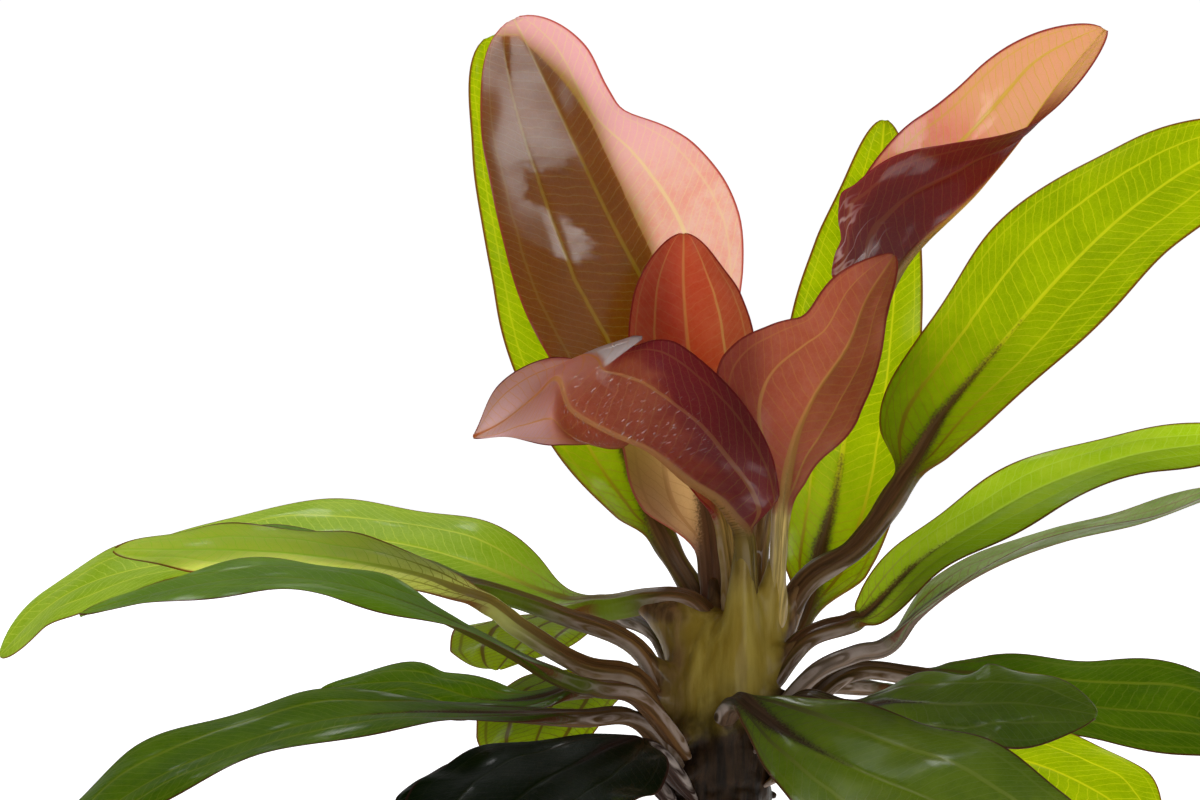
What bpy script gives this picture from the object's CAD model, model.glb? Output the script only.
"""Red rubin echinodorus: the looks of the rosette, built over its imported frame."""

import math

import bmesh
import bpy
import numpy as np
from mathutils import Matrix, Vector


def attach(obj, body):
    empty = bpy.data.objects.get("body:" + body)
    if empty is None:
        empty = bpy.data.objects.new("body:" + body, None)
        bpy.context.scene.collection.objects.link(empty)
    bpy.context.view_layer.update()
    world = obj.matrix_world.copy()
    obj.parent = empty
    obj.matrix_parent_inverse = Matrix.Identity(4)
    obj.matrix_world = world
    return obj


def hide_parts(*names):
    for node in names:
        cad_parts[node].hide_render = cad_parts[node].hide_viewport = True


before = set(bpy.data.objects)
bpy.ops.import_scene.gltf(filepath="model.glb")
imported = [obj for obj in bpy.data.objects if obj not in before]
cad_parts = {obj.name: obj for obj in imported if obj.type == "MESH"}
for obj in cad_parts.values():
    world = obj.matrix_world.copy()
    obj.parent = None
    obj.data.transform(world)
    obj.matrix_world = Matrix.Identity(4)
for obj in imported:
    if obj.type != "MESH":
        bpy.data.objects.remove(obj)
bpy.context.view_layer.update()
MM = 0.001

# The camera stands level with the rosette, as the photograph's did
camera = bpy.data.objects.new("camera", bpy.data.cameras.new("camera"))
bpy.context.scene.collection.objects.link(camera)
camera.location = (-0.030, -0.708, 0.112)
camera.rotation_euler = (math.radians(90), 0, 0)
camera.data.lens = 85
camera.data.sensor_width = 36
camera.data.clip_start = 0.01
camera.data.clip_end = 50
bpy.context.scene.camera = camera
bpy.context.scene.view_settings.view_transform = "Standard"

# Measures that all leaves share: half widths and thicknesses in millimetres, rows of the mesh, where
# the tip starts to narrow and where the last row stops, how far apart cross veins are, how far up the
# blade the petiole's colour runs, places of the columns between rib and margin, and a common outline
STALK_HALF = 3.2
BASE_HALF = 4.2
STALK_THICK = 4.4
BLADE_THICK = 0.5
MARGIN_THICK = 0.35
RIB_BULGE = 1.9
THINNEST = 0.03
OFF_FLOOR = 0.02
STALK_ROWS = 26
BLADE_ROWS = 96
TIP_FROM = 0.75
TIP_LEFT_OFF = 0.998
CROSS_VEINS_APART = 2.7
KEEL = 0.34
REACHES = [0, 0.018, 0.04, 0.065, 0.095, 0.14, 0.2, 0.27, 0.34, 0.41, 0.46, 0.485, 0.5, 0.515, 0.54,
           0.6, 0.68, 0.76, 0.83, 0.885, 0.93, 0.96, 0.982, 1]
OVAL = [0.12, 0.5, 0.8, 0.95, 1, 0.97, 0.88, 0.75, 0.6]

# The crown's outline, radius and height, and the petiole bases that have grown together with it:
# point in the crown, radius there, point outside, radius there
CROWN_PROFILE = [(11.5, 0), (13.2, 10), (13.6, 26), (12.6, 34), (11.2, 40), (10.6, 46), (9.4, 52),
                 (7, 57), (3, 60)]
CROWN_TOP = 58
CROWN_SPAN = ((-24, 26), (-20, 24), (-1.1, 80))
CROWN_STEP = 0.55
ROOT_STUBS = 16
RIDGE_LONG = 15
RIDGE_REACH = 19
RIDGE_RISE = 13
FUSED_BASES = [
    ((4, -5, 36), 7.5, (5.4, -6.2, 75), 2.2),
    ((1, 3, 40), 7, (-1.5, 7, 66), 1.4),
    ((8, 0, 42), 6, (14.4, -3.4, 76), 1.2),
    ((-1, 1, 52), 7, (-12, 3.6, 58), 4),
    ((-11, 3, 56), 4.5, (-20, 5.4, 60.5), 2),
    ((-5, -2, 38), 7, (-11, 3, 56), 4.5),
    ((7, 0, 40), 7, (20, 4.2, 63.5), 2.6),
    ((6, -3, 38), 5, (20, -6, 51.8), 1.4),
    ((-4, -4, 30), 6, (-18, -6, 47), 1.4),
]


def oval(half):
    return [part * half for part in OVAL]


# A petiole that leaves the crown this far out starts lower than its first point, inside the crown
ROOTED_FROM = 16
ROOTED_LOWER = 15
ROOTED_SHARE = 0.72

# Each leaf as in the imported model: the midrib's points from crown to tip, which of them starts the
# blade, the half widths left and right, where the upper face looks, and how the halves rise, curl
# and wave. Angles are in degrees. A bump is (side, place, span, lift, pull).
LEAVES = {
    "leaf_red_tall": dict(
        midrib=[(1, 3, 47), (-1, 7, 61), (-2, 9, 73), (-4, 11, 92), (-7, 12, 112), (-15, 13, 134),
                (-27, 13, 157), (-37, 13, 178), (-45, 13, 195), (-52, 12, 209)], blade=2,
        left=[8, 18, 20.5, 29, 31, 27, 22.5, 19, 18], right=[3, 7, 11, 18, 30, 28, 15, 15.5, 15],
        face=[(0.1, -1, 0.1)], rise=[8], curl=[-8], waves=(2, 0.8, 0.1),
        bumps=[("right", 0.72, 0.03, 2, 2)], finish="salmon", stem=3.8),
    "leaf_green_behind_red": dict(
        midrib=[(0, 6, 47), (-5, 10, 61), (-13, 13, 75), (-20, 14.6, 90), (-27, 14.4, 107),
                (-32, 14.4, 125), (-37, 14.4, 144), (-43, 14.4, 164), (-48, 14.4, 183), (-58, 14.2, 205)],
        blade=2, left=[3, 10, 16, 20, 21.5, 20, 18, 17.5, 17], right=[3, 7, 10, 15, 21, 22, 18.5, 17.7, 17],
        face=[(0.1, -1, 0.1)], rise=[6], curl=[-6], waves=(2, 0.6, 0.3), finish="lime"),
    "leaf_youngest": dict(
        midrib=[(4, 2, 47), (4, 3, 62), (2, 4, 80), (-2, 5, 97), (-6, 5, 112), (-8, 5, 127), (-9, 5, 141),
                (-9, 5, 154)], blade=2, left=[2, 8, 13, 16, 17.5, 17.5, 15.5, 12.6, 10],
        right=[2, 8, 13, 17, 19, 19, 16.5, 12.6, 10], face=[(0, -1, 0)], rise=[10], curl=[40],
        waves=(1, 0.4, 0), finish="coral"),
    "leaf_red_folded": dict(
        midrib=[(5, -4, 49), (6, -5, 62), (5, -8, 79), (0, -12, 87), (-9, -18, 93), (-18, -24, 100),
                (-29, -30, 105), (-37, -33, 110), (-40, -34, 117), (-45, -27, 113), (-53, -17, 107),
                (-61, -9, 103)], blade=2, left=[9, 19, 25, 25, 22, 12, 8, 8, 6],
        right=[6, 18, 24, 24, 22, 18, 16, 12, 8],
        edge_left=[(15, -8, 80.5), (14, -9, 92), (10.6, -11, 102), (3, -15, 114), (-8, -19, 124),
                   (-17, -25, 126.5), (-30, -26, 122), (-42.5, -24, 122.4), (-54.4, -16, 115.7),
                   (-61.2, -9.2, 103.6)],
        edge_right=[(4, -3, 82), (3, -5, 104), (-5, -7, 113), (-14, -9, 111), (-24, -12, 100.5),
                    (-32.4, -16, 100.8), (-41, -18, 101.3), (-48.3, -16, 102), (-54.6, -12.5, 102.7),
                    (-61.2, -8.6, 102.4)], bow=2.5,
        face=[(0.6, 0.6, 0.3), (0.6, 0.4, 0.5), (0.6, 0, 0.8), (0.6, 0, 0.8), (0.5, 0.1, 0.8),
              (0.3, 0.5, 0.6), (0, 1, 0.2), (0, 1, 0.1)], rise=[80], curl=[0], waves=(3, 1, 0.2),
        bumps=[("left", 0.655, 0.03, 3, -10)], finish="mauve"),
    "leaf_red_right": dict(
        midrib=[(12, 0, 50), (14, -3, 67), (15, -5, 84), (18, -6, 101), (23, -7, 113), (31, -7, 125),
                (36, -6, 137), (43, -5, 148)], blade=2, left=[3, 9, 22, 26, 20, 14.5, 12, 9, 6],
        right=[3, 6, 11, 13, 12, 9, 7, 6, 5], face=[(0.1, -0.95, 0.3)], rise=[20], curl=[0],
        waves=(2, 1, 0.4), finish="russet", stem=2.2),
    "leaf_red_twisted": dict(
        midrib=[(10, 5, 50), (10, 7, 68), (13, 10, 87), (26, 13, 108), (38, 14, 127), (45, 15, 143),
                (53, 15, 153), (66, 16, 165), (76, 18, 177), (88, 22, 193), (101, 26, 208)], blade=4,
        left=[3, 14, 20, 23, 24, 23, 20, 16, 12], right=[3, 15, 23, 25, 19.5, 14, 10, 8, 7],
        face=[(-0.75, -0.2, 0.66)], rise_left=[85, 85, 85, 80, 75], rise_right=[80, 85, 60, 0, -20],
        curl=[0], waves=(2, 1, 0), finish="rose", stem=2.8,
        bumps=[("right", 0.1, 0.03, 2, 0), ("right", 0.18, 0.025, -2, 0), ("right", 0.26, 0.025, 1.6, 0)]),
    "leaf_green_tall": dict(
        midrib=[(17, 10, 50), (21, 14, 56), (27, 20, 75), (31, 22, 90), (34, 24, 108), (37, 26, 128),
                (40, 27, 147), (42, 28, 165), (44, 29, 185)], blade=1,
        left=[5, 10, 13, 16, 18.5, 18, 15, 11, 9], right=[8, 14, 16, 17, 17.5, 15.5, 13, 11, 9],
        face=[(0, -1, 0.1)], rise=[10], curl=[-10], waves=(3, 0.7, 0.2), finish="lime"),
    "leaf_green_broad": dict(
        midrib=[(12, 2, 52), (20, 4, 64), (35, 7, 75), (46, 8, 90), (56, 10, 107), (72, 12, 126),
                (87, 14, 143), (105, 16, 160), (126, 18, 174), (147, 20, 181)], blade=3,
        left=[3, 15, 19, 22, 23.5, 21.5, 17, 12, 9], right=[3, 9, 13.5, 17, 18, 18, 17, 14, 11],
        face=[(-0.4, -0.8, 0.4)], rise=[14], curl=[-20], waves=(3, 1.2, 0.3), finish="lime", thick=5.6),
    "leaf_right_narrow": dict(
        midrib=[(10, -4, 50), (20, -6, 52), (32, -8, 57), (37, -8, 60), (49, -8, 72), (64, -8, 82),
                (81, -6, 91), (102, -4, 98), (122, -2, 101), (142, 0, 104)], blade=2, left=oval(11.5),
        right=oval(13), face=[(-0.35, -0.5, 0.78)], rise=[15], curl=[-15], waves=(3, 1, 0.3),
        finish="fresh"),
    "leaf_right_edgewise": dict(
        midrib=[(8, -8, 42), (21, -12, 44), (32, -14, 50), (40, -14, 52), (48, -14, 60), (58, -13, 67),
                (70, -12, 73), (85, -11, 78), (103, -10, 82), (120, -9, 88), (134, -8, 92)], blade=3,
        left=oval(18), right=oval(18), face=[(-0.4, 0, 0.9)], rise=[8], curl=[0], waves=(2, 0.6, 0.3),
        finish="pale"),
    "leaf_right_front": dict(
        midrib=[(4, -10, 34), (3, -30, 40), (14, -48, 34), (29, -68, 28), (45, -86, 23), (60, -102, 15),
                (74, -116, 4)], blade=1, left=oval(23), right=[3, 6, 12, 18, 24, 26, 24, 18, 13],
        face=[(-0.3, -0.36, 0.88)], rise=[10], curl=[-20], waves=(3, 1.2, 0.2), finish="misty", sunk=3,
        stem=2.6),
    "leaf_right_glossy": dict(
        midrib=[(8, -14, 38), (18, -20, 39), (29, -27, 38), (41, -34, 40), (54, -41, 40), (67, -46, 41),
                (85, -52, 39)], blade=2, left=oval(22), right=oval(22), face=[(0, -0.4, 0.9)], rise=[6],
        curl=[-20], waves=(3, 1.2, 0.2), finish="misty"),
    "leaf_right_low": dict(
        midrib=[(8, -10, 30), (28, -16, 30), (45, -26, 30), (58, -38, 29), (72, -50, 27), (84, -60, 22),
                (95, -68, 14)], blade=2, left=oval(22), right=oval(22), face=[(0.2, -0.4, 0.9)], rise=[6],
        curl=[-10], waves=(2, 1, 0.2), finish="lime"),
    "leaf_right_far": dict(
        midrib=[(12, 2, 36), (30, 8, 42), (50, 14, 42), (72, 16, 37), (98, 18, 33), (124, 20, 30),
                (146, 22, 20), (162, 24, 4)], blade=2, left=oval(27), right=oval(20),
        face=[(0, -0.4, 0.92)], rise=[6], curl=[-10], waves=(3, 1, 0.2), finish="deep"),
    "leaf_left_top": dict(
        midrib=[(2, 2, 52), (-7, 3, 61), (-17, 5, 62), (-30, 8, 60), (-44, 12, 63), (-62, 16, 70),
                (-82, 20, 75), (-105, 24, 77), (-130, 28, 75), (-155, 30, 70)], blade=3, left=oval(22),
        right=[3, 7, 19, 25, 26, 25, 22, 18, 14], face=[(0.1, -0.33, 0.94)], rise=[6], curl=[-10],
        waves=(3, 1, 0.2), finish="leaf", thick=6.8),
    "leaf_left_long": dict(
        midrib=[(-2, -5, 42), (-20, -5, 50), (-40, -5, 59), (-58, -5, 65), (-80, -4, 70), (-102, -3, 72),
                (-119, -3, 73), (-138, -2, 71), (-155, -1, 67), (-168, 0, 60), (-180, 0, 48)], blade=3,
        left=[3, 8, 11, 11, 14, 20, 20, 17, 14], right=oval(23), face=[(0, -0.28, 0.96)], rise=[6],
        curl=[-10], waves=(3, 1, 0.2), finish="leaf"),
    "leaf_left_middle": dict(
        midrib=[(-4, -8, 38), (-20, -10, 43), (-34, -13, 47), (-49, -15, 56), (-57, -16, 62),
                (-71, -15, 68), (-89, -14, 72), (-104, -13, 74), (-121, -12, 75), (-135, -11, 75),
                (-150, -10, 75)], blade=4, left=oval(11), right=oval(12.5), face=[(0, -0.48, 0.88)],
        rise=[6], curl=[-10], waves=(3, 1, 0.2), finish="spring"),
    "leaf_left_front": dict(
        midrib=[(-4, -14, 34), (-20, -26, 40), (-31, -36, 44), (-39, -42, 47), (-57, -51, 57),
                (-74, -56, 65), (-92, -58, 70), (-110, -59, 71), (-130, -60, 68), (-149, -60, 63)], blade=3,
        left=oval(18), right=oval(22), face=[(0, -0.13, 0.99)], rise=[6], curl=[-10], waves=(3, 1, 0.2),
        finish="green"),
    "leaf_low_wavy": dict(
        midrib=[(-8, -8, 36), (-20, -8, 40), (-33, -9, 41), (-48, -9, 38), (-60, -8, 38), (-71, -7, 41),
                (-79, -6, 42), (-92, -5, 41), (-100, -4, 39)], blade=2, left=oval(19), right=oval(16),
        face=[(0, -0.18, 0.98)], rise=[6], curl=[-10], waves=(3, 1, 0.2), finish="deep"),
    "leaf_low_long": dict(
        midrib=[(-8, -14, 28), (-20, -20, 34), (-35, -28, 36), (-58, -40, 38), (-76, -48, 39),
                (-94, -56, 38), (-114, -63, 33), (-131, -69, 26), (-144, -73, 17), (-156, -77, 4)], blade=2,
        left=oval(17), right=oval(27), face=[(0, -0.12, 0.99)], rise=[6], curl=[-10], waves=(3, 1, 0.2),
        finish="deep"),
    "leaf_low_front": dict(
        midrib=[(-4, -16, 26), (-20, -32, 30), (-36, -58, 28), (-50, -84, 22), (-66, -112, 3)], blade=1,
        left=oval(26), right=oval(26), face=[(0, -0.2, 1)], rise=[6], curl=[-10], waves=(3, 1, 0.2),
        finish="dark"),
    "leaf_low_small": dict(
        midrib=[(-8, -6, 22), (-22, -12, 24), (-38, -20, 25), (-54, -28, 24), (-66, -34, 22),
                (-78, -40, 17)], blade=2, left=oval(9), right=oval(9), face=[(0, -0.1, 1)], rise=[6],
        curl=[-10], waves=(2, 0.6, 0.2), finish="dark"),
    "leaf_back_left": dict(
        midrib=[(-2, 6, 44), (-14, 18, 51), (-26, 40, 55), (-37, 60, 54), (-46, 80, 50), (-53, 98, 43),
                (-60, 114, 34)], blade=2, left=oval(24), right=oval(24), face=[(0, -0.1, 1)], rise=[6],
        curl=[-10], waves=(3, 1, 0.2), finish="olive"),
    "leaf_back_low": dict(
        midrib=[(-4, 10, 32), (-14, 26, 38), (-24, 44, 40), (-33, 62, 38), (-41, 80, 31), (-47, 96, 19),
                (-52, 110, 3)], blade=2, left=oval(22), right=oval(22), face=[(0, -0.1, 1)], rise=[6],
        curl=[-10], waves=(3, 1, 0.2), finish="olive"),
    "leaf_back_right": dict(
        midrib=[(6, 8, 32), (22, 26, 36), (40, 46, 36), (58, 66, 32), (74, 86, 24), (86, 102, 13),
                (94, 114, 3)], blade=2, left=oval(24), right=oval(24), face=[(0, -0.1, 1)], rise=[6],
        curl=[-10], waves=(3, 1, 0.2), finish="deep"),
}


# Leaf shapes

def unit(vectors):
    return vectors / np.maximum(np.linalg.norm(vectors, axis=-1, keepdims=True), 1e-9)


def smooth(low, high, values):
    part = np.clip((values - low) / (high - low), 0, 1)
    return part * part * (3 - 2 * part)


def through(values, times):
    """Points of a smooth curve through evenly timed values, at each of the times."""
    values = np.asarray(values, float).reshape(len(values), -1)
    padded = np.concatenate([[2 * values[0] - values[1]], values, [2 * values[-1] - values[-2]]])
    times = np.asarray(times, float)
    index = np.clip(times.astype(int), 0, len(values) - 2)
    part = (times - index)[:, None]
    a, b, c, d = (padded[index + step] for step in range(4))
    cubic = 3 * b - a - 3 * c + d
    return 0.5 * (2 * b + (c - a) * part + (2 * a - 5 * b + 4 * c - d) * part**2 + cubic * part**3)


def along(listed, places):
    """A number listed at even steps, read at places from 0 to 1."""
    if len(listed) == 1:
        return np.full(len(places), float(listed[0]))
    return through(listed, np.asarray(places) * (len(listed) - 1))[:, 0]


def crown_radius(height):
    radii, heights = zip(*CROWN_PROFILE)
    return float(np.interp(height, heights, radii))


def rooted(leaf):
    """The midrib, begun lower and inside the crown where the petiole comes in from the side."""
    first, second = leaf["midrib"][:2]
    if math.hypot(second[0], second[1]) < ROOTED_FROM:
        return leaf["midrib"]
    turn = math.atan2(second[1], second[0])
    level = first[2] - leaf.get("sunk", ROOTED_LOWER)
    radius = crown_radius(level) * ROOTED_SHARE
    return [(radius * math.cos(turn), radius * math.sin(turn), level)] + leaf["midrib"][1:]


def leaf_rows(leaf):
    """Per row: time, place on the blade, rib point, directions, half widths, and places on the petiole."""
    midrib = rooted(leaf)
    last = len(midrib) - 1
    blade = leaf["blade"]
    stalk_times = np.linspace(0, blade, STALK_ROWS, endpoint=False)
    closer_at_tip = 1 - (1 - np.linspace(0, 1, BLADE_ROWS)) ** 1.15
    blade_times = blade + (last - blade) * closer_at_tip * TIP_LEFT_OFF
    times = np.concatenate([stalk_times, blade_times])
    u = np.clip((times - blade) / (last - blade), 0, 1)
    rib = through(midrib, times)
    ahead = through(midrib, np.minimum(times + 0.05, last))
    behind = through(midrib, np.maximum(times - 0.05, 0))
    tangent = unit(ahead - behind)
    face = leaf["face"]
    seen = times / last * (len(face) - 1)
    up = np.tile(face[0], (len(times), 1)).astype(float) if len(face) == 1 else through(face, seen)
    up = unit(up - tangent * (up * tangent).sum(1)[:, None])
    tip = np.sqrt(1 - np.clip((u - TIP_FROM) / (1 - TIP_FROM), 0, 1) ** 2)
    down = np.clip(times / blade, 0, 1)
    stalk_half = BASE_HALF + (leaf.get("stem", STALK_HALF) - BASE_HALF) * smooth(0, 1.3, times)
    swell = np.sin(times * 4.3 + midrib[-1][0]) + 0.7 * np.sin(times * 9.1 + midrib[-1][1])
    root = 0.25 + 0.75 * smooth(0, 0.5, times)
    stalk_half = stalk_half * (1 + 0.07 * swell) * root
    opened = smooth(0, 0.1, u)
    half = {}
    for side in ("left", "right"):
        wide = np.maximum(along(leaf[side], u) * tip, 0.25)
        if "edge_" + side in leaf:
            edge = np.array(leaf["edge_" + side], float)
            wide = np.linalg.norm(through(edge, u * (len(edge) - 1)) - rib, axis=1)
        half[side] = stalk_half * (1 - opened) + wide * opened
    right = np.cross(tangent, up)
    return dict(times=times, u=u, rib=rib, right=right, up=up, half=half, down=down, root=root)


def leaf_sheet(leaf, rows):
    """The leaf's middle surface, as rows of points from the left margin over the rib to the right."""
    u = rows["u"]
    halves = {}
    for side, sign in (("left", -1), ("right", 1)):
        rise = np.radians(along(leaf.get("rise_" + side, leaf.get("rise")), u))
        curl = np.radians(along(leaf["curl"], u))
        curl = np.where(np.abs(curl) < 1e-3, 1e-3, curl)[:, None]
        rise = rise[:, None]
        reach = np.array(REACHES)[None, :]
        out = (np.sin(rise + curl * reach) - np.sin(rise)) / curl
        upward = (np.cos(rise) - np.cos(rise + curl * reach)) / curl
        waves, height, phase = leaf["waves"]
        turn = waves * u + phase + (0.37 if side == "left" else 0)
        swing = height * np.sin(2 * np.pi * turn) * np.sqrt(np.clip(np.sin(np.pi * u), 0, 1))
        lift = swing[:, None] * reach**2
        pull = np.zeros_like(lift)
        for where, at, span, bump_lift, bump_pull in leaf.get("bumps", []):
            if where == side:
                strength = np.exp(-(((u - at) / span) ** 2))[:, None] * reach**2
                lift = lift + strength * bump_lift
                pull = pull + strength * bump_pull
        seed = leaf["midrib"][-1][0] * 0.7 + (1.3 if side == "left" else 0)
        ripple = np.sin(2 * np.pi * (3.1 * u[:, None] + 0.5 * reach) + seed)
        ripple = ripple + 0.5 * np.sin(2 * np.pi * (5.3 * u[:, None] - 0.7 * reach) + 2.1 * seed)
        between = np.sin(np.pi * np.clip(reach * 0.92, 0, 1)) * smooth(0, 0.15, u)[:, None]
        lift = lift + 0.3 * ripple * between
        width = rows["half"][side][:, None] - pull
        points = (rows["rib"][:, None, :] + rows["right"][:, None, :] * (sign * out * width)[..., None]
                  + rows["up"][:, None, :] * (upward * width + lift)[..., None])
        if "edge_" + side in leaf:
            edge = np.array(leaf["edge_" + side], float)
            span = (through(edge, u * (len(edge) - 1)) - rows["rib"])[:, None, :]
            tangent = np.gradient(rows["rib"], axis=0)[:, None, :]
            over = unit(np.cross(tangent, span * sign))
            length = np.linalg.norm(span, axis=2)
            bulge = leaf["bow"] * np.sin(np.pi * reach) * np.clip(length / 15, 0, 1) + lift
            given = rows["rib"][:, None, :] + span * (reach - pull / np.maximum(length, 6))[..., None]
            given = given + over * bulge[..., None]
            share = smooth(0, 0.08, u)[:, None, None]
            points = points * (1 - share) + given * share
        halves[side] = points
    return np.concatenate([halves["left"][:, :0:-1], halves["right"]], axis=1)


def grid_normals(sheet):
    forward = np.gradient(sheet, axis=0)
    across = np.gradient(sheet, axis=1)
    return unit(np.cross(across, forward))


def leaf_object(name, leaf):
    """One leaf with its petiole: a closed skin with a sunken rib above and a raised rib below."""
    rows = leaf_rows(leaf)
    sheet = leaf_sheet(leaf, rows)
    normals = grid_normals(sheet)
    u = rows["u"][:, None]
    reach = np.concatenate([-np.array(REACHES[:0:-1]), REACHES])[None, :]
    side = np.abs(reach)
    half = np.where(reach < 0, rows["half"]["left"][:, None], rows["half"]["right"][:, None])
    from_rib = side * half
    blade = smooth(0, 0.12, u)
    rib_half = 0.6 + 2.2 * np.exp(-u / 0.1)
    rib = np.exp(-((from_rib / rib_half) ** 2))
    rib_height = RIB_BULGE * np.exp(-u / 0.25) + 0.3
    thin = BLADE_THICK + (MARGIN_THICK - BLADE_THICK) * side
    thin = thin * np.sqrt(np.clip(1.0001 - side**6, 0, 1))
    lateral = np.exp(-(((side - 0.5) * half / 0.7) ** 2)) * smooth(0, 0.1, u) * (1 - smooth(0.85, 1, u))
    round_off = np.sqrt(np.clip(1 - side**2, 0, 1))
    channel = 0.5 * np.exp(-((side / 0.45) ** 2))
    turns = np.arcsin(np.clip(reach, -1, 1))
    fluted = 0.16 * np.cos(11 * turns) + 0.1 * np.cos(17 * turns + 3 * u + 5 * rows["down"][:, None])
    stalk = (leaf.get("thick", STALK_THICK) + fluted) * round_off * rows["root"][:, None]
    blade_above = thin / 2 - 0.25 * rib * (1 - u) - 0.12 * lateral
    blade_below = thin / 2 + rib_height * rib + 0.22 * lateral
    above = np.maximum((1 - blade) * (stalk * 0.42 - channel) + blade * blade_above, THINNEST)
    below = np.maximum((1 - blade) * (stalk * 0.58) + blade * blade_below, THINNEST)
    upper = sheet + normals * above[..., None]
    lower = sheet - normals * below[..., None]
    for skin in (upper, lower):
        skin[..., 2] = np.maximum(skin[..., 2], OFF_FLOOR)
    steps = np.linalg.norm(np.diff(rows["rib"], axis=0), axis=1)
    length = np.concatenate([[0], np.cumsum(steps)])
    length = length - length[STALK_ROWS]
    place = np.where(rows["times"] < leaf["blade"], rows["down"] - 1, rows["u"])
    spread = np.stack(np.broadcast_arrays(reach, place[:, None]), -1)
    measured = np.stack(np.broadcast_arrays(reach * half, length[:, None]), -1)
    return skin_object(name, upper, lower, spread, measured)


def skin_object(name, upper, lower, spread, measured):
    """A closed mesh of two skins of rows by columns, joined round the edge, with two coordinate maps."""
    count_rows, count_columns = upper.shape[:2]
    grid = np.arange(count_rows * count_columns).reshape(count_rows, count_columns)
    below = grid + grid.size
    faces = []
    for index, flip in ((grid, False), (below, True)):
        a, b, c, d = index[:-1, :-1], index[:-1, 1:], index[1:, 1:], index[1:, :-1]
        quads = np.stack([a, d, c, b] if flip else [a, b, c, d], -1).reshape(-1, 4)
        faces.append(quads)
    left = np.stack([grid[:-1, 0], grid[1:, 0], below[1:, 0], below[:-1, 0]], -1)
    right = np.stack([grid[:-1, -1], below[:-1, -1], below[1:, -1], grid[1:, -1]], -1)
    start = np.stack([grid[0, :-1], below[0, :-1], below[0, 1:], grid[0, 1:]], -1)
    end = np.stack([grid[-1, :-1], grid[-1, 1:], below[-1, 1:], below[-1, :-1]], -1)
    faces = np.concatenate(faces + [left, right, start, end])
    points = np.concatenate([upper.reshape(-1, 3), lower.reshape(-1, 3)]) * MM
    mesh = bpy.data.meshes.new(name)
    mesh.from_pydata(points.tolist(), [], faces.tolist())
    corners = np.empty(len(mesh.loops), np.int32)
    mesh.loops.foreach_get("vertex_index", corners)
    corners = corners % grid.size
    for title, values in (("spread", spread), ("measured", measured)):
        layer = mesh.uv_layers.new(name=title)
        layer.uv.foreach_set("vector", values.reshape(-1, 2)[corners].astype(np.float32).ravel())
    mesh.shade_smooth()
    made = bpy.data.objects.new(name, mesh)
    bpy.context.scene.collection.objects.link(made)
    return made


# Surface finishes

class Amount:
    """A number that changes over a surface. Sums and products of amounts add their Math nodes."""

    def __init__(self, finish, socket):
        self.finish = finish
        self.socket = socket

    def step(self, operation, *others):
        fed = {0: self, **{index + 1: other for index, other in enumerate(others)}}
        node = self.finish.node("ShaderNodeMath", {"operation": operation}, fed)
        return Amount(self.finish, node.outputs[0])

    def turned(self, operation, other):
        node = self.finish.node("ShaderNodeMath", {"operation": operation}, {0: other, 1: self})
        return Amount(self.finish, node.outputs[0])

    def __add__(self, other):
        return self.step("ADD", other)

    __radd__ = __add__

    def __sub__(self, other):
        return self.step("SUBTRACT", other)

    def __rsub__(self, other):
        return self.turned("SUBTRACT", other)

    def __mul__(self, other):
        return self.step("MULTIPLY", other)

    __rmul__ = __mul__

    def __truediv__(self, other):
        return self.step("DIVIDE", other)

    def __pow__(self, other):
        return self.step("POWER", other)

    def __abs__(self):
        return self.step("ABSOLUTE")

    def part(self):
        return self.step("FRACT")

    def most(self, other):
        return self.step("MAXIMUM", other)

    def ramp(self, low, high):
        """0 below low, 1 above high, smooth between them. With low above high it falls instead."""
        settings = {"interpolation_type": "SMOOTHSTEP"}
        fed = {"Value": self, "From Min": min(low, high), "From Max": max(low, high),
               "To Min": float(low > high), "To Max": float(low < high)}
        return Amount(self.finish, self.finish.node("ShaderNodeMapRange", settings, fed).outputs[0])


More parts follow.
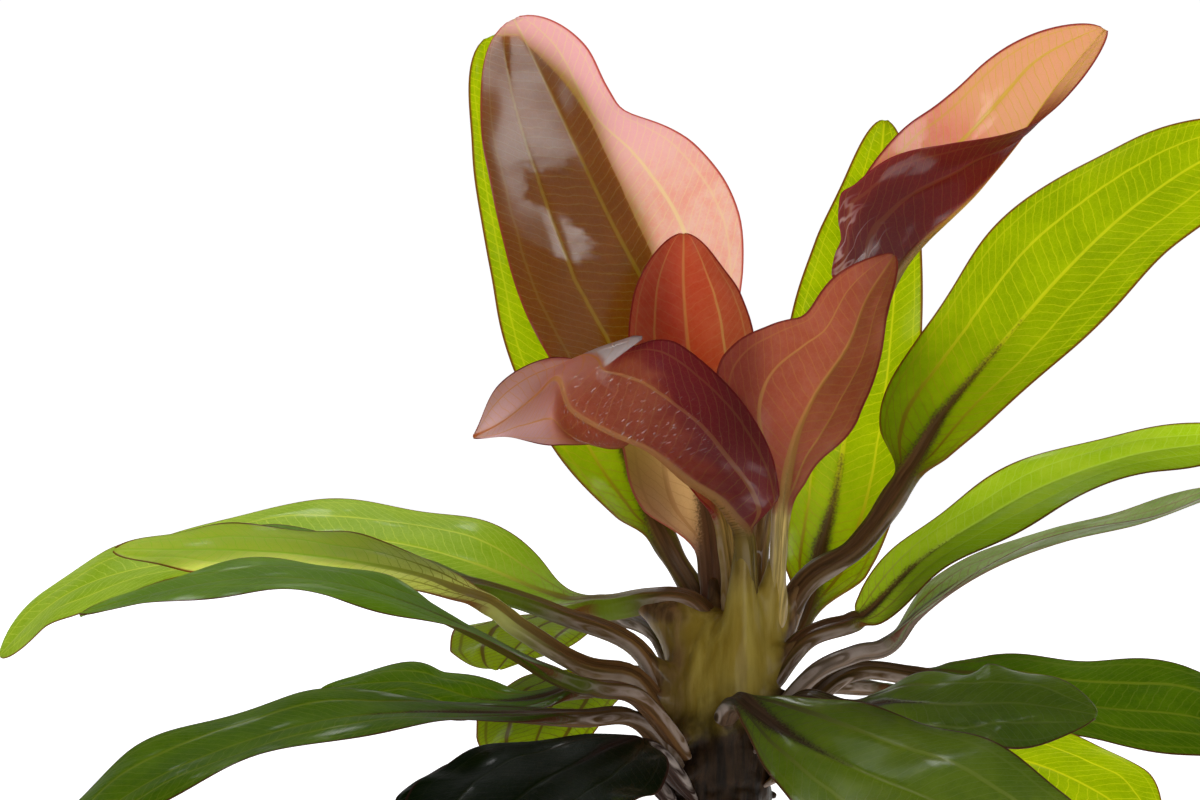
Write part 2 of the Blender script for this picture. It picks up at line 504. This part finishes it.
class Finish:
    """The nodes of a material, or of the world around."""

    def __init__(self, owner):
        self.owner = owner
        self.owner.use_nodes = True
        self.tree = self.owner.node_tree
        self.tree.nodes.clear()

    def node(self, kind, settings, fed):
        made = self.tree.nodes.new(kind)
        for name, value in settings.items():
            setattr(made, name, value)
        for key, value in fed.items():
            self.feed(made.inputs[key], value)
        return made

    def feed(self, socket, value):
        if isinstance(value, Amount):
            self.tree.links.new(value.socket, socket)
        elif isinstance(value, bpy.types.NodeSocket):
            self.tree.links.new(value, socket)
        elif isinstance(value, tuple) and len(value) == 3 and socket.type == "RGBA":
            socket.default_value = (*value, 1)
        else:
            socket.default_value = value

    def parts_of(self, vector):
        split = self.node("ShaderNodeSeparateXYZ", {}, {0: vector})
        return [Amount(self, split.outputs[axis]) for axis in range(3)]

    def map_parts(self, title):
        """The two numbers and the vector of a coordinate map."""
        vector = self.node("ShaderNodeUVMap", {"uv_map": title}, {}).outputs[0]
        first, second, _ = self.parts_of(vector)
        return first, second, vector

    def stretched(self, vector, scale):
        return self.node("ShaderNodeVectorMath", {"operation": "MULTIPLY"}, {0: vector, 1: scale}).outputs[0]

    def noise(self, vector, scale, detail=3.0, roughness=0.55):
        fed = {"Vector": vector, "Scale": scale, "Detail": detail, "Roughness": roughness}
        return Amount(self, self.node("ShaderNodeTexNoise", {}, fed).outputs[0])

    def cells(self, vector, scale):
        """Distance to the nearest cell wall of a fine irregular net."""
        settings = {"feature": "DISTANCE_TO_EDGE", "voronoi_dimensions": "2D"}
        fed = {"Vector": vector, "Scale": scale}
        return Amount(self, self.node("ShaderNodeTexVoronoi", settings, fed).outputs[0])

    def tint(self, share, first, second):
        """First colour where share is 0, second where it is 1."""
        node = self.node("ShaderNodeMix", {"data_type": "RGBA"}, {0: share, 6: first, 7: second})
        return node.outputs[2]

    def joined(self, share, first, second):
        """First shader where share is 0, second where it is 1."""
        return self.node("ShaderNodeMixShader", {}, {0: share, 1: first, 2: second}).outputs[0]

    def glow(self, colour):
        return self.node("ShaderNodeBsdfTranslucent", {}, {"Color": colour}).outputs[0]

    def bump(self, height, distance, strength=1.0):
        fed = {"Height": height, "Distance": distance, "Strength": strength}
        return self.node("ShaderNodeBump", {}, fed).outputs[0]

    def done(self, kind, shader):
        self.node(kind, {}, {"Surface": shader})
        return self.owner


# Colours of each kind of leaf: what shines through the tissue, its paler patches, veins and margin,
# then the surface's own colour, its veins, the veins near the petiole, and the petiole. Some have
# colours of parts of their own. Then how strong the fine net is, how broad the laterals, how far brown
# runs up the blade and green down the petiole, how much is reflected, and how much light passes.
LEAF_COLOURS = {
    "salmon": dict(
        through=(1.0, 0.62, 0.54), patch=(1.0, 0.78, 0.7), vein=(1.0, 0.86, 0.6), rim=(0.7, 0.2, 0.16),
        skin=(0.3, 0.1, 0.08), ridge=(0.45, 0.2, 0.1), nerve=(0.45, 0.2, 0.05), stalk=(0.07, 0.028, 0.015),
        tip=(1.0, 0.7, 0.72), pressed=(0.62, 0.3, 0.06), low=(1.0, 0.78, 0.48), gloss=0.09, dry=0.04,
        passes=0.84),
    "coral": dict(
        through=(0.92, 0.38, 0.26), patch=(0.95, 0.5, 0.36), vein=(1.0, 0.84, 0.5), rim=(0.5, 0.08, 0.07),
        skin=(0.3, 0.06, 0.05), ridge=(0.5, 0.22, 0.1), nerve=(0.7, 0.4, 0.12), stalk=(0.3, 0.2, 0.05),
        web=0.35, bold=1.3, gloss=0.012, passes=0.8),
    "mauve": dict(
        through=(0.92, 0.44, 0.28), patch=(0.95, 0.54, 0.38), vein=(0.95, 0.66, 0.36),
        rim=(0.35, 0.04, 0.05), skin=(0.16, 0.035, 0.035), ridge=(0.45, 0.25, 0.12), nerve=(0.6, 0.36, 0.1),
        stalk=(0.1, 0.065, 0.012), tip=(1.0, 0.8, 0.86), dusk=(0.64, 0.14, 0.2), web=0.55, keel=0.08,
        gloss=0.03, passes=0.72),
    "russet": dict(
        through=(0.86, 0.38, 0.26), patch=(0.9, 0.47, 0.36), vein=(0.93, 0.64, 0.3), rim=(0.4, 0.07, 0.05),
        skin=(0.2, 0.06, 0.05), ridge=(0.45, 0.25, 0.12), nerve=(0.6, 0.4, 0.12), stalk=(0.34, 0.25, 0.08),
        web=0.55, keel=0.1, passes=0.72),
    "rose": dict(
        through=(0.98, 0.46, 0.4), patch=(0.99, 0.6, 0.52), vein=(0.86, 0.68, 0.2), rim=(0.5, 0.1, 0.1),
        skin=(0.2, 0.04, 0.04), ridge=(0.5, 0.3, 0.12), nerve=(0.8, 0.6, 0.2), stalk=(0.2, 0.12, 0.04),
        tip=(0.99, 0.66, 0.48), folded=(0.42, 0.1, 0.08), bold=1.5, gloss=0.05, passes=0.82),
    "lime": dict(
        through=(0.56, 0.68, 0.004), patch=(0.68, 0.78, 0.012), vein=(0.93, 0.93, 0.1),
        rim=(0.4, 0.16, 0.04), skin=(0.06, 0.12, 0.004), ridge=(0.3, 0.32, 0.03), nerve=(0.26, 0.12, 0.01),
        stalk=(0.075, 0.036, 0.014), passes=0.8),
    "leaf": dict(
        through=(0.53, 0.69, 0.08), patch=(0.63, 0.76, 0.16), vein=(0.84, 0.9, 0.25),
        rim=(0.32, 0.09, 0.03), skin=(0.08, 0.14, 0.012), ridge=(0.25, 0.3, 0.04), nerve=(0.24, 0.12, 0.02),
        stalk=(0.11, 0.052, 0.018), keel=0.12, wing=0.85, passes=0.76),
    "green": dict(
        through=(0.42, 0.62, 0.012), patch=(0.52, 0.72, 0.04), vein=(0.6, 0.7, 0.14),
        rim=(0.25, 0.08, 0.03), skin=(0.04, 0.09, 0.005), ridge=(0.16, 0.22, 0.03), nerve=(0.2, 0.1, 0.02),
        stalk=(0.09, 0.042, 0.016), wing=0.5, shine=0.05, dry=0.05, passes=0.68),
    "pale": dict(
        through=(0.5, 0.68, 0.12), patch=(0.68, 0.78, 0.4), vein=(0.6, 0.4, 0.3), rim=(0.3, 0.08, 0.06),
        skin=(0.22, 0.27, 0.14), ridge=(0.25, 0.15, 0.1), nerve=(0.3, 0.12, 0.06),
        stalk=(0.13, 0.085, 0.06), gloss=0.04, passes=0.6),
    "olive": dict(
        through=(0.56, 0.66, 0.005), patch=(0.56, 0.66, 0.03), vein=(0.3, 0.22, 0.02),
        rim=(0.3, 0.12, 0.03), skin=(0.05, 0.08, 0.004), ridge=(0.1, 0.06, 0.01), nerve=(0.2, 0.08, 0.01),
        stalk=(0.05, 0.025, 0.014), bold=2.2, shine=0.04, dry=0.0, passes=0.78),
    "deep": dict(
        through=(0.26, 0.4, 0.008), patch=(0.36, 0.5, 0.03), vein=(0.5, 0.58, 0.1), rim=(0.2, 0.06, 0.03),
        skin=(0.035, 0.06, 0.004), ridge=(0.1, 0.11, 0.02), nerve=(0.14, 0.07, 0.02),
        stalk=(0.06, 0.03, 0.012), bold=1.6, shine=0.03, dry=0.0, passes=0.58),
    "fresh": dict(
        through=(0.72, 0.9, 0.09), patch=(0.82, 0.95, 0.18), vein=(0.86, 1.0, 0.32), rim=(0.34, 0.1, 0.03),
        skin=(0.16, 0.21, 0.03), ridge=(0.3, 0.36, 0.06), nerve=(0.3, 0.14, 0.03),
        stalk=(0.075, 0.032, 0.014), shine=0.08, passes=0.85),
    "spring": dict(
        through=(0.98, 1.0, 0.36), patch=(1.0, 1.0, 0.46), vein=(0.86, 1.0, 0.32), rim=(0.34, 0.1, 0.03),
        skin=(0.42, 0.47, 0.19), ridge=(0.3, 0.36, 0.06), nerve=(0.3, 0.14, 0.03),
        stalk=(0.11, 0.052, 0.018), keel=0.12, wing=0.85, shine=0.08, passes=0.88),
    "misty": dict(
        through=(0.34, 0.46, 0.02), patch=(0.46, 0.56, 0.06), vein=(0.5, 0.58, 0.14), rim=(0.2, 0.06, 0.03),
        skin=(0.085, 0.125, 0.03), ridge=(0.2, 0.23, 0.08), nerve=(0.1, 0.06, 0.03),
        stalk=(0.05, 0.028, 0.016), bold=1.6, gloss=0.04, dry=0.25, passes=0.55),
    "dark": dict(
        through=(0.04, 0.085, 0.01), patch=(0.06, 0.12, 0.016), vein=(0.12, 0.16, 0.05),
        rim=(0.1, 0.04, 0.03), skin=(0.006, 0.011, 0.004), ridge=(0.016, 0.022, 0.008),
        nerve=(0.06, 0.03, 0.01), stalk=(0.02, 0.01, 0.007), shine=0.03, gloss=0.008, dry=0.0, passes=0.3),
}


def scaled(colour, times):
    return tuple(part * times for part in colour)


class LeafPlaces:
    """Where a leaf's veins, margin and petiole lie, as amounts over its surface.

    reach runs from -1 at the left margin to 1 at the right, and place from -1 to 0 on the petiole and
    from 0 to 1 on the blade. length and from_rib are in millimetres.
    """

    def __init__(self, made, colours):
        self.reach, self.place, _ = made.map_parts("spread")
        across, self.length, self.flat = made.map_parts("measured")
        self.spot = made.node("ShaderNodeTexCoord", {}, {}).outputs["Object"]
        self.x_mm, _, self.z_mm = (part * 1000 for part in made.parts_of(self.spot))
        self.side = abs(self.reach)
        self.from_rib = abs(across)
        self.wander = made.noise(self.flat, 0.09, 2.0) - 0.5
        self.patches = made.noise(self.flat, 0.055, 3.0)
        self.speckle = made.noise(self.flat, 1.6, 3.0, 0.7)
        self.streaks = made.noise(made.stretched(self.flat, (1.2, 0.06, 1.0)), 1.0, 3.0)
        self.foot = self.place.ramp(0.42, 0.0)
        keel = (colours.get("keel", KEEL) - self.place) * 10 + self.wander * 3 + (self.speckle - 0.5) * 5
        self.blade = self.place.ramp(-0.03, 0.05) * (1 - (keel - self.from_rib).ramp(-1, 1))
        self.tissue = self.blade.most(self.place.ramp(-0.45, -0.05) * colours.get("wing", 0))
        margin = (self.from_rib / self.side.most(0.2) - self.from_rib).ramp(0.8, 0.3)
        self.margin = margin * self.side.ramp(0.4, 0.6) * self.blade
        self.facing = Amount(made, made.node("ShaderNodeLayerWeight", {}, {"Blend": 0.5}).outputs["Facing"])

    def veins(self, made, colours):
        """The midrib, a lateral halfway out, a faint one near the margin, and the fine net between."""
        bold = colours.get("bold", 1)
        midrib = (self.from_rib + 0.5 * self.place - self.foot * 0.9).ramp(1.0, 0.6)
        lateral = (abs(self.side - 0.5 + self.wander * 0.05) / bold - self.foot * 0.03).ramp(0.02, 0.01)
        outer = (abs(self.side - 0.85 + self.wander * 0.04) / bold - self.foot * 0.012).ramp(0.014, 0.006)
        slant = self.from_rib * (0.55 + self.side.ramp(0.47, 0.53) * 0.5)
        drift = made.noise(self.flat, 0.3, 2.0) - 0.5
        between = ((self.length - slant) / CROSS_VEINS_APART + self.wander * 0.8 + drift * 0.5).part()
        crossing = abs(between - 0.5).ramp(0.075, 0.03)
        net = made.cells(made.stretched(self.flat, (1.0, 0.75, 1.0)), 0.75).ramp(0.085, 0.01)
        web = self.blade * self.from_rib.ramp(0.3, 1.2) * colours.get("web", 0.8)
        main = lateral.most(outer * 0.6) * self.blade
        return midrib.most(main).most(crossing.most(net * 0.35) * web)


def film_shine(made, at):
    """Where a film of water shines on the part of the tall red leaf that the leaf behind clings to."""
    ragged = made.noise(made.stretched(at.spot, (0.35, 1.0, 1.0)), 420.0, 5.0, 0.7) - 0.5
    clouded = made.noise(made.stretched(at.spot, (0.6, 1.0, 1.0)), 110.0, 3.0)
    x_mm, z_mm = at.x_mm, at.z_mm
    slope = z_mm + (x_mm + 44) * 0.42
    shine = (z_mm + ragged * 16 - (x_mm + 44) * 0.2).ramp(168.5, 175) * (0.62 + x_mm.ramp(-37, -43) * 0.3)
    spots = [(x_mm + 53.5, 4.6, z_mm - 167, 7, 0.75), (x_mm + 44, 12, slope - 155.5, 5.2, 1.0),
             (x_mm + 40, 5.5, slope - 152.5, 3, 1.0), (x_mm + 48, 4, z_mm - 128, 3.6, 0.35)]
    for beside, wide, above, tall, power in spots:
        off = (beside / wide) ** 2 + (above / tall) ** 2
        shine = shine.most((off + ragged * 2.2).ramp(1.5, 0.5) * power)
    return shine * (0.55 + clouded.ramp(0.3, 0.7) * 0.45)


def pressed_part(at):
    """Where the green leaf behind clings to the tall red one, up to an edge down its left part."""
    top = (at.z_mm - 180).most(0.0)
    edge = at.x_mm + 16.7 + (at.z_mm - 149) * 0.46 + top * top * 0.0145
    return (edge + at.wander * 0.8).ramp(0.25, -0.25) * at.z_mm.ramp(204.8, 204.0)


def folded_part(made, at):
    """Where the near half closes over the other and looks darker, and the pale creases low on it."""
    folded = at.reach.ramp(0.0, 0.05) * at.place.ramp(0.86, 0.7)
    creases = made.noise(made.stretched(at.flat, (1.5, 0.6, 1.0)), 0.12, 2.0)
    creased = abs(creases - 0.5).ramp(0.025, 0.004) * folded
    return folded, creased * at.place.ramp(0.3, 0.2) * at.side.ramp(0.2, 0.4) * 0.7


def dusky_part(made, at):
    """Where the near half is darker and more purple, and where its flap and its sheen are pale."""
    inward = at.side - at.place * 1.4 + 0.35 + at.wander * 0.8
    dusk = (inward * at.reach.ramp(0.05, -0.05)).ramp(0.1, 0.45)
    flap = abs(at.place - 0.655).ramp(0.045, 0.035) * at.reach.ramp(-0.5, -0.6)
    brushed = made.noise(made.stretched(at.flat, (0.5, 2.2, 1.0)), 0.8, 2.0).ramp(0.6, 0.72)
    streaked = brushed * abs(at.place - 0.5).ramp(0.3, 0.12) * at.side.ramp(0.75, 0.4) * 0.7
    return dusk, flap.most(streaked)


def leaf_tissue(made, at, veins, colours):
    """The surface's own colour: skin with veins and margin, and the streaked petiole, pale-edged."""
    tissue = made.tint(at.patches.ramp(0.3, 0.75), colours["skin"], scaled(colours["skin"], 1.5))
    ridge = made.tint(at.foot * 0.8, colours["ridge"], colours["nerve"])
    tissue = made.tint(veins * 0.75, tissue, ridge)
    tissue = made.tint(at.margin * 0.8, tissue, colours["rim"])
    stalk = made.tint(at.streaks.ramp(0.3, 0.7), scaled(colours["stalk"], 0.8), scaled(colours["stalk"], 2.2))
    thin_edge = at.side.ramp(0.78, 0.95) * at.streaks.ramp(0.42, 0.6) * 0.5
    return made.tint(at.tissue, made.tint(thin_edge, stalk, (0.5, 0.42, 0.38)), tissue)


def leaf_surface(made, at, colour, veins, wet, colours):
    """The skin under a coat of water, which reflects as gloss says however much light is let through."""
    quilt = veins * -0.35 + at.speckle * 0.12 + made.noise(at.flat, 0.35, 2.0) * 0.5
    quilt = made.tint(at.blade, at.streaks.socket, quilt.socket)
    glance = math.sqrt(colours.get("gloss", 0.011) / (1 - colours["passes"]))
    dry = colours.get("dry", 0.12)
    return made.node("ShaderNodeBsdfPrincipled", {}, {
        "Base Color": colour, "Roughness": 0.3 + at.speckle * 0.15 + at.patches * 0.1, "IOR": 1.45,
        "Specular IOR Level": colours.get("shine", 0.12),
        "Coat Weight": (dry + wet * (1 - dry)) * (0.3 + at.blade * 0.7) * (1 - at.facing**3 * 0.85),
        "Coat Roughness": 0.17, "Coat IOR": (1 + glance) / (1 - glance),
        "Normal": made.bump(quilt, 0.0006, 0.5),
    }).outputs[0]


def leaf_finish(name, colours):
    """Wet leaf tissue that lets light through, with its net of veins and darker margin."""
    made = Finish(bpy.data.materials.new(name))
    at = LeafPlaces(made, colours)
    veins = at.veins(made, colours)
    mottle = (at.patches * 0.45 + made.noise(at.flat, 0.4, 3.0) * 0.3 + at.speckle * 0.25).ramp(0.38, 0.62)
    light = made.joined(mottle, made.glow(colours["through"]), made.glow(colours["patch"]))
    wet = made.noise(made.stretched(at.flat, (1.0, 0.35, 1.0)), 0.11, 3.0).ramp(0.55, 0.64)
    passes = colours["passes"] * (1 - at.facing**6 * 0.3) * (1 - at.foot * 0.2) * (at.tissue * 0.75 + 0.25)
    toward_tip = at.place.ramp(0.55, 0.72)
    markings = []
    if "tip" in colours:
        light = made.joined(toward_tip, light, made.glow(colours["tip"]))
    if "pressed" in colours:
        pressed = pressed_part(at)
        clung = made.joined(at.z_mm.ramp(116, 100), made.glow(colours["pressed"]), made.glow(colours["low"]))
        light = made.joined(pressed, light, clung)
        wet = film_shine(made, at) * pressed * (0.75 + at.speckle * 0.5)
        veins = veins * (1 - pressed * 0.5)
    if "folded" in colours:
        folded, creased = folded_part(made, at)
        light = made.joined(folded * 0.95, light, made.glow(colours["folded"]))
        veins = veins * (1 - folded * 0.75)
        markings.append((creased, (0.9, 0.74, 0.74), (0.75, 0.66, 0.68)))
    if "dusk" in colours:
        dusk, pale = dusky_part(made, at)
        light = made.joined(dusk, light, made.glow(colours["dusk"]))
        veins = veins * (1 - dusk * 0.45)
        markings.append((pale, (0.96, 0.86, 0.84), (0.8, 0.74, 0.76)))
        passes = (passes + (0.95 - passes) * toward_tip) * (1 - pale * 0.45)
    colour = leaf_tissue(made, at, veins, colours)
    for share, through_it, on_it in markings:
        light = made.joined(share, light, made.glow(through_it))
        colour = made.tint(share, colour, on_it)
    nerve = made.joined(at.foot * 0.85, made.glow(colours["vein"]), made.glow(colours["nerve"]))
    light = made.joined(veins, light, nerve)
    light = made.joined(at.margin * 0.9, light, made.glow(colours["rim"]))
    surface = leaf_surface(made, at, colour, veins, wet, colours)
    return made.done("ShaderNodeOutputMaterial", made.joined(passes, surface, light))


def crown_finish():
    """The crown: golden and half clear in front, brown where petioles leave, nearly black below."""
    made = Finish(bpy.data.materials.new("crown_skin"))
    place = made.node("ShaderNodeTexCoord", {}, {}).outputs["Object"]
    x_mm, y_mm, z_mm = (part * 1000 for part in made.parts_of(place))
    streaks = made.noise(made.stretched(place, (1.0, 1.0, 0.12)), 420.0, 4.0)
    blotches = made.noise(place, 130.0, 3.0)
    age = (z_mm + (blotches - 0.5) * 16 - x_mm * 0.4).ramp(46, 27)
    from_axis = (x_mm * x_mm + y_mm * y_mm) ** 0.5 + (blotches - 0.5) * 4
    petiole = from_axis.ramp(14, 19).most(x_mm.ramp(-7, -13) * z_mm.ramp(50, 60))
    petiole = petiole.most(x_mm.ramp(-3, -11) * (0.35 + streaks * 0.6))
    petiole = petiole.most(y_mm.ramp(1, 4) * z_mm.ramp(52, 58)).most(z_mm.ramp(52, 72) * 0.55)
    petiole = (petiole + (blotches - 0.5) * 0.4).ramp(0.1, 0.9)
    golden = made.tint(streaks.ramp(0.3, 0.7), (0.4, 0.27, 0.03), (0.6, 0.46, 0.09))
    brown = made.tint(streaks.ramp(0.35, 0.65), (0.07, 0.032, 0.012), (0.22, 0.12, 0.045))
    black = made.tint(streaks.ramp(0.35, 0.65), (0.01, 0.005, 0.002), (0.035, 0.017, 0.007))
    surface = made.node("ShaderNodeBsdfPrincipled", {}, {
        "Base Color": made.tint(age, made.tint(petiole, golden, brown), black),
        "Roughness": 0.35 + blotches * 0.25, "IOR": 1.45, "Specular IOR Level": 0.14,
        "Coat Weight": (1 - age) * 0.3, "Coat Roughness": 0.15,
        "Normal": made.bump(streaks + blotches, 0.0012, 0.6),
    }).outputs[0]
    clear = (1 - age) * (1 - petiole * 0.75) * 0.4
    return made.done("ShaderNodeOutputMaterial", made.joined(clear, surface, made.glow((0.75, 0.55, 0.09))))


# Crown: a short stem with the petiole bases melted into it and root stubs low down

def melted(first, second, width):
    """Distance to two shapes that run into each other over a width."""
    share = np.clip(0.5 + 0.5 * (second - first) / width, 0, 1)
    return second * (1 - share) + first * share - width * share * (1 - share)


def bar_distance(points, first, wide, second, narrow):
    """Distance to a round bar from one ball to another."""
    first, second = np.array(first, float), np.array(second, float)
    span = second - first
    share = np.clip((points - first) @ span / (span @ span), 0, 1)
    near = first + share[..., None] * span
    return np.linalg.norm(points - near, axis=-1) - (wide + (narrow - wide) * share)


def petiole_ridge(leaf):
    """A petiole comes down the stem as a low ridge: its foot, where it bends out, and its free end."""
    midrib = leaf["midrib"]
    turn = math.atan2(midrib[1][1], midrib[1][0])
    level = midrib[0][2]
    low, high = crown_radius(level - RIDGE_LONG) * 0.82, crown_radius(level) * 0.8
    foot = (low * math.cos(turn), low * math.sin(turn), level - RIDGE_LONG)
    collar = (high * math.cos(turn), high * math.sin(turn), level - 3)
    run = through(rooted(leaf), np.linspace(0, 2, 60))
    free = (np.hypot(run[:, 0], run[:, 1]) > RIDGE_REACH) | (run[:, 2] > level + RIDGE_RISE)
    return foot, collar, run[np.argmax(free)]


def crown_distance(points):
    """Distance to the crown with its fibres and rings, the petioles' bases and ridges, and root stubs."""
    radii, heights = zip(*CROWN_PROFILE)
    x, y, z = points[..., 0], points[..., 1], points[..., 2]
    round_about = np.arctan2(y, x)
    fibres = 0.35 * np.sin(7 * round_about + 0.11 * z) + 0.25 * np.sin(13 * round_about - 0.17 * z + 2)
    lower_ring = 0.5 * np.exp(-(((z - 9 - fibres) / 0.9) ** 2))
    upper_ring = 0.5 * np.exp(-(((z - 17 + 2 * fibres) / 0.9) ** 2))
    field = np.hypot(x, y) - np.interp(z, heights, radii) + 0.7 - fibres + lower_ring + upper_ring
    field = -melted(-field, CROWN_TOP - z, 12)
    for inner, wide, outer, narrow in FUSED_BASES:
        field = melted(field, bar_distance(points, inner, wide - 0.4, outer, narrow), 4)
    for leaf in LEAVES.values():
        foot, collar, out = petiole_ridge(leaf)
        field = melted(field, bar_distance(points, foot, 2.2, collar, 4.2), 1.6)
        field = melted(field, bar_distance(points, collar, 4.2, out, 1.3), 2)
    rng = np.random.default_rng(7)
    for _ in range(ROOT_STUBS):
        turn = rng.uniform(0, 2 * np.pi)
        level = rng.uniform(3, 22)
        end = (rng.uniform(13.4, 14.6) * math.cos(turn), rng.uniform(13.4, 14.6) * math.sin(turn), level)
        inner = (10 * math.cos(turn), 10 * math.sin(turn), level + 1)
        field = melted(field, bar_distance(points, inner, 1.6, end, 0.9), 0.8)
    return np.maximum(field, -z)


def surface_of(field, corner, step):
    """Corners and four-sided faces of the surface where a field of distances passes through zero."""
    shape = np.array(field.shape) - 1
    total = np.zeros((*shape, 3))
    count = np.zeros(shape)
    crossings = []
    for axis in range(3):
        before = np.take(field, range(field.shape[axis] - 1), axis)
        after = np.take(field, range(1, field.shape[axis]), axis)
        crossed = (before < 0) != (after < 0)
        cell = np.argwhere(crossed)
        place = cell.astype(float)
        place[:, axis] += before[crossed] / (before[crossed] - after[crossed])
        second, third = (axis + 1) % 3, (axis + 2) % 3
        around = []
        for back, down in ((1, 1), (0, 1), (0, 0), (1, 0)):
            beside = cell.copy()
            beside[:, second] -= back
            beside[:, third] -= down
            np.add.at(total, tuple(beside.T), place)
            np.add.at(count, tuple(beside.T), 1)
            around.append(beside)
        crossings.append((around, before[crossed] < 0))
    used = count > 0
    number = np.full(shape, -1)
    number[used] = np.arange(used.sum())
    corners = corner + step * total[used] / count[used][:, None]
    faces = []
    for around, outward in crossings:
        quads = np.stack([number[tuple(beside.T)] for beside in around], -1)
        faces.append(np.where(outward[:, None], quads, quads[:, ::-1]))
    return corners, np.concatenate(faces)


def crown_object():
    sides = [np.arange(low, high, CROWN_STEP) for low, high in CROWN_SPAN]
    points = np.stack(np.meshgrid(*sides, indexing="ij"), -1)
    corner = np.array([low for low, _ in CROWN_SPAN])
    corners, faces = surface_of(crown_distance(points), corner, CROWN_STEP)
    corners[:, 2] = np.maximum(corners[:, 2], 0)
    mesh = bpy.data.meshes.new("crown")
    mesh.from_pydata((corners * MM).tolist(), [], faces.tolist())
    mesh.shade_smooth()
    made = bpy.data.objects.new("crown_body", mesh)
    bpy.context.scene.collection.objects.link(made)
    return made


finishes = {kind: leaf_finish(kind + "_leaf", colours) for kind, colours in LEAF_COLOURS.items()}
for node_name, leaf in LEAVES.items():
    piece = leaf_object(node_name + "_blade", leaf)
    piece.data.materials.append(finishes[leaf["finish"]])
    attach(piece, "root")
    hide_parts(node_name)

crown = crown_object()
crown.data.materials.append(crown_finish())
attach(crown, "root")
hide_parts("crown")

# Floor and light

def floor_object():
    mesh = bpy.data.meshes.new("floor")
    shape = bmesh.new()
    bmesh.ops.create_grid(shape, x_segments=1, y_segments=1, size=60)
    shape.to_mesh(mesh)
    shape.free()
    made = bpy.data.objects.new("floor", mesh)
    bpy.context.scene.collection.objects.link(made)
    return made


floor = floor_object()
floor_finish = Finish(bpy.data.materials.new("pale_floor"))
plain = floor_finish.node("ShaderNodeBsdfPrincipled", {}, {
    "Base Color": (0.93, 0.93, 0.93), "Roughness": 0.7,
    "Emission Color": (1, 1, 1), "Emission Strength": 0.92,
})
floor.data.materials.append(floor_finish.done("ShaderNodeOutputMaterial", plain.outputs[0]))


def soft_light(name, place, target, size, power):
    light = bpy.data.lights.new(name, "AREA")
    light.size = size
    light.energy = power
    made = bpy.data.objects.new(name, light)
    made.location = place
    made.rotation_euler = (Vector(target) - Vector(place)).to_track_quat("-Z", "Y").to_euler()
    bpy.context.scene.collection.objects.link(made)


soft_light("light_back", (-0.3, 0.9, 1.2), (0, 0, 0.1), 0.8, 9)
soft_light("light_front", (0.6, -1.3, 0.45), (0, 0, 0.14), 0.75, 4.4)

world = bpy.data.worlds.new("studio")
bpy.context.scene.world = world
studio = Finish(world)
toward = studio.node("ShaderNodeTexCoord", {}, {}).outputs["Generated"]
_, backward, upward = studio.parts_of(toward)
panel = backward.ramp(-0.1, 0.4) * upward.ramp(0.5, 0.22)
sky = studio.node("ShaderNodeBackground", {}, {"Color": (1, 1, 1), "Strength": 0.07 + panel * 0.96})
studio.done("ShaderNodeOutputWorld", sky.outputs[0])
